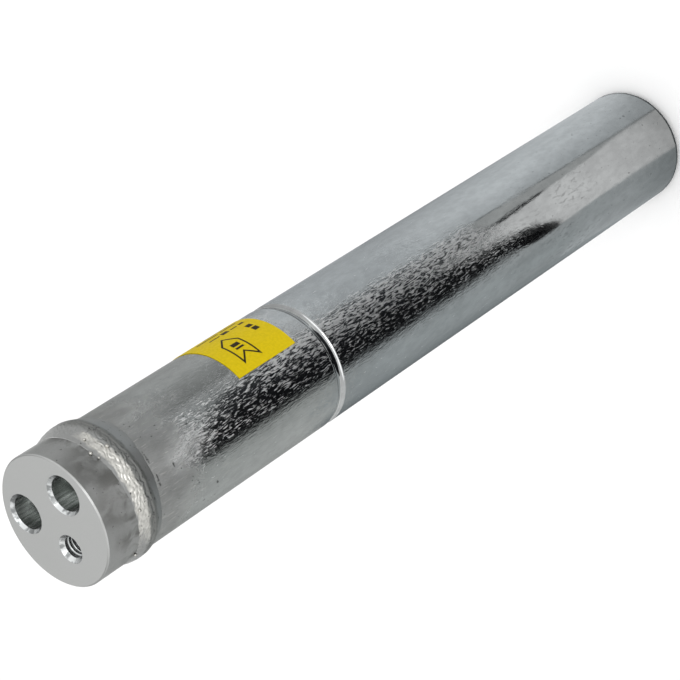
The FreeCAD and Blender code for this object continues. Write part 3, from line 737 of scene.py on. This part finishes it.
# Plain bars beside the arrow: from and to round the canister in degrees, then along it in millimetres
PRINT_BARS = [
    (42.0, 44.2, 224.9, 228.3), (46.0, 50.4, 225.0, 228.2),
    (50.0, 55.4, 214.2, 216.4), (57.4, 62.4, 214.2, 216.4),
    (69.5, 72.5, 213.5, 215.6), (69.8, 71.4, 216.6, 219.4),
    (69.0, 74.0, 220.4, 223.2), (70.4, 72.0, 224.2, 228.8),
    (78.5, 80.5, 214.0, 221.0), (78.5, 80.5, 222.2, 231.5), (86.0, 88.0, 214.0, 226.0),
]
# The arrow stands this far above the sticker's middle, and the print this far off the paper
ARROW_LIFT = 3.2 * MM
PRINT_GAP = 0.005 * MM


def arrow_mesh(sticker):
    """The outline of the flow arrow and plain bars, as thin print on the sticker."""
    middle = (STICKER_LOW.z + STICKER_HIGH.z) / 2 + ARROW_LIFT
    tip = sticker.tip_angle * STICKER_R
    side = sticker.width / 2
    tails = tip - sticker.length
    outline = [
        Vector((tip, middle)),
        Vector((tip - sticker.head, middle + side)),
        Vector((tails, middle + side)),
        Vector((tails + sticker.notch, middle)),
        Vector((tails, middle - side)),
        Vector((tip - sticker.head, middle - side)),
    ]
    low, high = STICKER_R + PRINT_GAP, STICKER_R + PRINT_GAP + sticker.ink
    shape = bmesh.new()
    inside = mitred(outline, sticker.line)
    for i in range(len(outline)):
        k = (i + 1) % len(outline)
        add_patch(shape, (outline[i], outline[k], inside[k], inside[i]), low, high)
    bmesh.ops.remove_doubles(shape, verts=shape.verts, dist=0.001 * MM)
    for start, end, foot, top in PRINT_BARS:
        left, right = (turn * STICKER_R for turn in radians(start, end))
        corners = [(left, foot * MM), (right, foot * MM), (right, top * MM), (left, top * MM)]
        add_patch(shape, [Vector(corner) for corner in corners], low, high, 3)
    return mesh_from(shape, "flow_arrow_print")


class DRIER_OT_canister(bpy.types.Operator):
    """Gives the canister its drawn and scuffed aluminium."""

    bl_idname = "drier.canister"
    bl_label = "Canister"

    def execute(self, context):
        dress("canister_shell", drawn_aluminium(context.scene.drier_finish))
        return {"FINISHED"}


class DRIER_OT_port_block(bpy.types.Operator):
    """Gives the port block its turned finish and winds the thread of its bolt hole."""

    bl_idname = "drier.port_block"
    bl_label = "Port block"

    def execute(self, context):
        finish, thread = context.scene.drier_finish, context.scene.drier_thread
        material = turned_aluminium(finish)
        dress("port_block", material)
        self.add_thread(thread, material)
        return {"FINISHED"}

    def add_thread(self, thread, material):
        """A ridge that winds up the wall of the bolt hole."""
        tree, given = new_tree("thread_ridge", [
            ("Place", "NodeSocketVector"), ("Radius", "NodeSocketFloat"), ("Length", "NodeSocketFloat"),
            ("Turns", "NodeSocketFloat"), ("Steps", "NodeSocketInt"), ("Ridge", "NodeSocketFloat")])
        spiral = add(tree, "GeometryNodeCurveSpiral", Resolution=given["Steps"], Rotations=given["Turns"],
                     Start_Radius=given["Radius"], End_Radius=given["Radius"], Height=given["Length"])
        section = add(tree, "GeometryNodeCurvePrimitiveCircle", Resolution=6, Radius=given["Ridge"])
        swept = add(tree, "GeometryNodeCurveToMesh", Curve=spiral, Profile_Curve=section, Fill_Caps=True)
        placed = add(tree, "GeometryNodeTransform", Geometry=swept, Translation=given["Place"])
        end_tree(tree, placed, material)
        length = BOLT_HOLE["dims"]["length_mm"] * MM - thread.pitch
        foot = Vector(BOLT_HOLE["pos_m"]) - Vector((0, 0, length / 2 + thread.pitch * 0.3))
        baked_piece("bolt_hole_thread", tree, {
            "Place": foot, "Radius": BOLT_HOLE["dims"]["r_mm"] * MM, "Length": length,
            "Turns": length / thread.pitch, "Steps": thread.sides, "Ridge": thread.height,
        }, material)


class DRIER_OT_weld(bpy.types.Operator):
    """Replaces the plain weld by a rippled bead, with drops and spatter on it."""

    bl_idname = "drier.weld"
    bl_label = "Girth weld"

    def execute(self, context):
        weld = context.scene.drier_weld
        material = weld_aluminium(context.scene.drier_finish)
        bead = add_piece("girth_weld_bead", weld_mesh(weld), material)
        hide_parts("girth_weld")
        metal = spatter_metal(context.scene.drier_finish)
        self.add_spatter(weld, metal)
        add_piece("weld_drops", self.drops_mesh(), metal)
        return {"FINISHED"}

    def drops_mesh(self):
        """The few larger drops, sunk about halfway into the bead or the block."""
        shape = bmesh.new()
        for angle, level, out, across in DROPS:
            place = Matrix.Translation(on_tube(angle, level, out))
            bmesh.ops.create_icosphere(shape, subdivisions=4, radius=across / 2 * MM, matrix=place)
        return mesh_from(shape, "weld_drops", smooth=True)

    def add_spatter(self, weld, material):
        """Small balls of weld metal, stuck to the flanks of the bead."""
        tree, given = new_tree("weld_spatter", [
            (name, "NodeSocketFloat")
            for name in ("Radius", "Low", "Length", "Density", "Ball", "Bead Low", "Bead High")])
        sleeve = add(tree, "open_cylinder", Vertices=96, Radius=given["Radius"], Depth=given["Length"])
        middle = add(tree, "plus", given["Low"], add(tree, "times", given["Length"], 0.5))
        placed = add(tree, "GeometryNodeTransform", Geometry=sleeve,
                     Translation=add(tree, "point", Z=middle))
        points = add(tree, "GeometryNodeDistributePointsOnFaces", Mesh=placed,
                     Density=given["Density"], Seed=5)
        height = add(tree, "axes", add(tree, "GeometryNodeInputPosition")).outputs["Z"]
        covered = add(tree, "times", add(tree, "above", height, given["Bead Low"]),
                      add(tree, "below", height, given["Bead High"]))
        free = add(tree, "delete_points", Geometry=points, Selection=covered)
        ball = add(tree, "GeometryNodeMeshIcoSphere", Radius=given["Ball"], Subdivisions=3)
        size = add(tree, "random", Min=0.55, Max=1.0, Seed=9)
        balls = add(tree, "GeometryNodeInstanceOnPoints", Points=free, Instance=ball, Scale=size)
        end_tree(tree, balls, material)
        # The balls lie on a sleeve just above the tube, clear of the middle 55% of the bead
        radius, length, clear = TUBE_R + 0.35 * MM, WELD_HALF * 1.7, WELD_HALF * 0.55
        area = math.tau * radius * (length - 2 * clear)
        baked_piece("weld_spatter", tree, {
            "Radius": radius, "Low": WELD_MIDDLE - length / 2, "Length": length,
            "Density": weld.spatter / area, "Ball": weld.spatter_size,
            "Bead Low": WELD_MIDDLE - clear, "Bead High": WELD_MIDDLE + clear,
        }, material)


class DRIER_OT_sticker(bpy.types.Operator):
    """Gives the flow sticker its paper and its printed arrow."""

    bl_idname = "drier.sticker"
    bl_label = "Flow sticker"

    def execute(self, context):
        finish = context.scene.drier_finish
        dress("flow_sticker", label_paper(finish))
        add_piece("flow_arrow_print", arrow_mesh(context.scene.drier_sticker),
                  printing_ink(finish))
        return {"FINISHED"}


class DRIER_OT_filter_stack(bpy.types.Operator):
    """Gives the sealed pieces inside the canister their materials."""

    bl_idname = "drier.filter_stack"
    bl_label = "Filter stack"

    def execute(self, context):
        finish = context.scene.drier_finish
        # Zinc plating leaves the pressed plates bright, with a soft spangle
        steel = plain_finish("zinc_plated_steel", finish.steel, 1.2 * MM, metallic=1.0, rough=(0.3, 0.45))
        # Needled felt is matt, with fibres that lie flat
        felt = plain_finish("needled_felt", finish.felt, 0.4 * MM, (1, 1, 0.4), rough=(0.85, 0.95), depth=0.2)
        wire = woven_wire(finish)
        for level in ("upper", "lower"):
            dress(f"{level}_plate", steel)
            dress(f"{level}_screen", wire)
            dress(f"{level}_felt_pad", felt)
        dress("strainer_mesh", wire)
        # Moulded nylon is creamy and waxy
        dress("strainer_cage", plain_finish("moulded_nylon", finish.nylon, 2 * MM, rough=(0.4, 0.5)))
        dress("desiccant_beads", desiccant_beads(finish))
        # Drawn wire is dark and satin
        dress("compression_spring", plain_finish(
            "drawn_spring_wire", finish.wire, 0.3 * MM, (1, 1, 0.5), 1.0, (0.25, 0.4)))
        # Extrusion leaves fine lines along the tube
        dress("pickup_tube", plain_finish(
            "extruded_aluminium", finish.turned, 0.4 * MM, (1, 1, 12), 1.0, (0.25, 0.4)))
        return {"FINISHED"}


def upright(distance, outline):
    """Corners of a card that stands across the X axis. outline lists (y, z)."""
    return [(distance, y, z) for y, z in outline]


def lying(height, outline):
    """Corners of a card that lies flat. outline lists (x, y)."""
    return [(x, y, height) for x, y in outline]


# Cards in millimetres: name, what their tone follows, its tones and the corners. The tone
# follows the angle round the canister in degrees, or its reach or its side in millimetres.
# dark_card stands in front of the canister, and the others lie on the floor round it.
# The first three outlines are edges that neighbouring cards share, in (x, y). The last one
# goes round the closed end, a little outside it, as a dark disc that the foot's rounded corner
# mirrors: painted shade for the floor's shadow round the foot.
TONE_LINE = [(19, -8), (29, -19), (36, -26), (41, -32), (47, -39), (57, -52), (63, -63)]
SEAM = [(19, 7), (28, 14), (41, 24), (52, 34), (65, 45), (84, 66), (100, 84), (125, 112)]
LIP = [(135, 33), (118, 35), (104, 34), (92, 32), (84, 31), (74, 27), (62, 25), (51, 23), (41, 22)]
FOOT_RADIUS = 21.9
FOOT_TURNS = [math.tau * i / 48 for i in range(48)]
FOOT_RING = [(FOOT_RADIUS * math.cos(turn), FOOT_RADIUS * math.sin(turn)) for turn in FOOT_TURNS]
CARDS = [
    ("dark_card", "SIDE", [(-20, "18191B"), (20, "303235"), (60, "424447")], upright(91, [
        (-94, 0), (-100, 8), (-104, 30), (-107, 60), (-106, 88), (-95, 112), (-95, 130), (-104, 150),
        (-102, 178), (-52, 206), (-7, 208), (40, 190), (49, 170), (61, 131), (72, 100), (69, 74),
        (60, 42), (44, 36), (40, 44), (10, 46), (17, 71), (4, 70), (-11, 46), (-22, 32), (-28, 15),
        (-44, 0)])),
    ("dark_tip_card", "REACH", [(0, "141416")], lying(0.9, [
        (91, -80), (78, -79), (67, -79), (65, -74), (61, -64), (67, -58), (73, -54), (79, -50),
        (87, -45), (91, -44)])),
    ("wedge_card", "REACH", [
        (25, "ECECEC"), (60, "F9F9F9"), (95, "FFFFFF"), (115, "F8F8F8"), (140, "CCCECE"),
    ], lying(0.3, [(10, -80), (250, -80), (250, 60), (10, 60)])),
    ("low_side_card", "ANGLE", [
        (-165, "6E7476"), (-144, "7E8486"), (-124, "9EA5A7"), (-104, "B4BABC"), (-84, "BFC6C8"),
        (-64, "BBC1C3"), (-52, "C2C7C9"), (-40, "DCDFE0"),
    ], lying(0.6, [
        (10, -4), *TONE_LINE, (66, -74), (67, -79), (91, -80), (150, -140), (190, -185), (0, -265),
        (-190, -185), (-265, 0), (-10, -4)])),
    ("low_foot_card", "REACH", [(25, "ABB1B3"), (50, "BABFC1"), (80, "C6CCCE")], lying(0.7, [
        (10, -4), *TONE_LINE[:6], (30, -74), (0, -80), (-36, -72), (-8, -14)])),
    ("low_back_card", "ANGLE", [
        (-144, "AAADAB"), (-124, "CACDCB"), (-90, "D4D7D5"), (-64, "C6C9C7"),
    ], lying(0.4, [
        (190, -185), (300, -300), (300, -420), (-420, -420), (-420, 0), (-255, 0), (-185, -185),
        (0, -255)])),
    ("middle_card", "REACH", [(110, "CACCCC"), (140, "BCBFBF")], lying(0.6, [
        *SEAM, (420, 380), (420, 60), *LIP])),
    ("high_side_card", "ANGLE", [
        (35, "D8DDE0"), (75, "F4F9FC"), (95, "EAEFF2"), (115, "DADFE2"), (135, "C6CBCE"),
        (155, "A2A7AA"),
    ], lying(0.5, [(10, 3), *SEAM, (200, 190), (0, 290), (-200, 190), (-290, 0), (-10, -4)])),
    ("shade_card", "ANGLE", [
        (75, "D0D5D8"), (95, "D4D9DC"), (115, "D0D5D8"), (155, "B4B9BC"),
    ], lying(0.55, [
        (120, 125), (185, 180), (0, 250), (-185, 180), (-250, 0), (-175, 0), (-125, 125), (0, 175)])),
    ("back_card", "ANGLE", [
        (40, "7D7F7E"), (60, "9FA1A0"), (80, "AFB1B0"), (100, "C7C9C8"), (155, "ABADAC"),
    ], lying(0.4, [
        (210, 205), (0, 295), (-210, 205), (-295, 0), (-420, 0), (-420, 420), (300, 420),
        (300, 300)])),
    ("seam_card", "REACH", [(0, "565A5C")], lying(1.0, [
        *SEAM, (123, 114), (98, 86), (82.5, 68), (64.2, 46.2), (51.3, 35.2), (40.3, 25.2),
        (27.4, 14.7)])),
    ("lip_card", "REACH", [(0, "323436")], lying(1.0, [
        (135, 26), (118, 28), (104, 28), (92, 28), (84, 30), (84, 33), (92, 36), (104, 39),
        (118, 40), (135, 38)])),
    # A dark disc under the closed end: painted shade that its rounded corner mirrors
    ("painted_foot_shade_card", "REACH", [(0, "5A5E60")], lying(0.9, FOOT_RING)),
]
# The two lights, in metres
OVERHEAD_PLACE = (0, 0, 1.7)
OVERHEAD_SIDE = 5.0
KEY_PLACE = (1.0, 0.1, 1.25)
KEY_SIDE = 0.7


class DRIER_OT_studio(bpy.types.Operator):
    """Sets up the pale floor, the soft lights, the cards and the camera."""

    bl_idname = "drier.studio"
    bl_label = "Studio"

    def execute(self, context):
        studio = context.scene.drier_studio
        self.add_floor(studio)
        self.add_surround(studio)
        self.add_cards()
        self.add_light("overhead_softbox", OVERHEAD_PLACE, OVERHEAD_SIDE, studio.overhead)
        self.add_light("key_light", KEY_PLACE, KEY_SIDE, studio.key)
        self.add_camera(studio)
        context.scene.view_settings.view_transform = "Standard"
        return {"FINISHED"}

    def add_stage(self, name, corners, material):
        """A flat sheet through the corners."""
        mesh = bpy.data.meshes.new(name)
        mesh.from_pydata([Vector(corner) for corner in corners], [], [range(len(corners))])
        mesh.materials.append(material)
        sheet = bpy.data.objects.new(name, mesh)
        bpy.context.scene.collection.objects.link(sheet)
        return sheet

    def add_floor(self, studio):
        """A large floor of matt white paper, which takes a soft shadow and no gloss."""
        material, tree, shader, place = new_material("matt_white_paper", Roughness=0.9)
        cloud = speckle(tree, place, 0.4)
        feed(tree, shader, Base_Color=add(tree, "blend", cloud, linear("F6F6F6"), linear("F4F4F4")))
        half = studio.floor / 2
        corners = [(-half, -half, 0), (half, -half, 0), (half, half, 0), (-half, half, 0)]
        self.add_stage("studio_floor", corners, material)

    def add_surround(self, studio):
        """A white surround: full white to the eye and in reflections, softer as a light."""
        world = bpy.data.worlds.new("white_surround")
        bpy.context.scene.world = world
        world.use_nodes = True
        tree = world.node_tree
        rays = add(tree, "ShaderNodeLightPath").outputs
        seen = add(tree, "larger", rays["Is Camera Ray"], rays["Is Glossy Ray"])
        seen = add(tree, "larger", seen, rays["Is Transmission Ray"])
        strength = add(tree, "mix", Factor=seen, A=studio.surround, B=1.0)
        feed(tree, tree.nodes["Background"], Color=linear("FFFFFF"), Strength=strength)

    def add_cards(self):
        """Cards that show only in reflections, as the room round a camera would."""
        for name, measure, tones, corners in CARDS:
            material = self.card_tone(name, measure, tones)
            card = self.add_stage(name, [Vector(corner) * MM for corner in corners], material)
            for ray in ("camera", "diffuse", "shadow", "transmission", "volume_scatter"):
                setattr(card, f"visible_{ray}", False)

    def card_tone(self, name, measure, tones):
        """An even glow that passes through the tones as the angle, reach or side grows."""
        material = bpy.data.materials.new(name)
        material.use_nodes = True
        tree = material.node_tree
        tree.nodes.clear()
        place = add(tree, "ShaderNodeTexCoord").outputs["Object"]
        axes = add(tree, "axes", place).outputs
        if measure == "ANGLE":
            value, unit = add(tree, "angle", axes["Y"], axes["X"]), math.radians(1)
        elif measure == "SIDE":
            value, unit = axes["Y"], MM
        else:
            value, unit = add(tree, "length", place), MM
        tone = linear(tones[0][1])
        for (low, first), (high, second) in zip(tones, tones[1:]):
            share = add(tree, "ramp", value, low * unit, high * unit)
            tone = add(tree, "blend", share, tone, linear(second))
        glow = add(tree, "ShaderNodeEmission", Color=tone, Strength=1.0)
        add(tree, "ShaderNodeOutputMaterial", Surface=glow)
        return material

    def add_light(self, name, place, side, power):
        """A soft square light, aimed a little above the middle of the part."""
        data = bpy.data.lights.new(name, "AREA")
        data.shape = "RECTANGLE"
        data.size = data.size_y = side
        data.energy = power
        lamp = bpy.data.objects.new(name, data)
        bpy.context.scene.collection.objects.link(lamp)
        lamp.location = place
        aim = Vector((0, 0, PORT_FACE * 0.6)) - lamp.location
        lamp.rotation_mode = "QUATERNION"
        lamp.rotation_quaternion = aim.to_track_quat("-Z", "Y")

    def add_camera(self, studio):
        """The camera, rolled as the photograph's was, so the drier lies across the picture."""
        data = bpy.data.cameras.new("camera")
        data.sensor_width = 36
        data.lens = studio.lens
        data.clip_start, data.clip_end = 0.01, 50
        camera = bpy.data.objects.new("camera", data)
        bpy.context.scene.collection.objects.link(camera)
        place, aim = Vector(studio.camera_place), Vector(studio.camera_aim)
        level = (aim - place).to_track_quat("-Z", "Y")
        camera.rotation_mode = "QUATERNION"
        camera.rotation_quaternion = level @ Quaternion((0, 0, 1), -studio.camera_roll)
        camera.location = place
        bpy.context.scene.camera = camera


class DRIER_PT_panel(bpy.types.Panel):
    """Lists the steps that dress the filter drier."""

    bl_idname = "DRIER_PT_panel"
    bl_label = "Filter drier"
    bl_space_type = "VIEW_3D"
    bl_region_type = "UI"
    bl_category = "Filter drier"

    def draw(self, context):
        for step in STEPS:
            self.layout.operator(step.bl_idname)


STEPS = (DRIER_OT_canister, DRIER_OT_port_block, DRIER_OT_weld, DRIER_OT_sticker,
         DRIER_OT_filter_stack, DRIER_OT_studio)
SETTINGS = {"drier_finish": DrierFinish, "drier_weld": DrierWeld, "drier_thread": DrierThread,
            "drier_sticker": DrierSticker, "drier_studio": DrierStudio}


def register():
    """Registers the settings, the steps and the panel."""
    for kind in (*SETTINGS.values(), *STEPS, DRIER_PT_panel):
        bpy.utils.register_class(kind)
    for name, kind in SETTINGS.items():
        setattr(bpy.types.Scene, name, bpy.props.PointerProperty(type=kind))


def unregister():
    """Takes them out again."""
    for name in SETTINGS:
        delattr(bpy.types.Scene, name)
    for kind in reversed((*SETTINGS.values(), *STEPS, DRIER_PT_panel)):
        bpy.utils.unregister_class(kind)


def main():
    """Runs every step in order."""
    register()
    for step in STEPS:
        group, name = step.bl_idname.split(".")
        getattr(getattr(bpy.ops, group), name)()


if __name__ == "__main__":
    main()
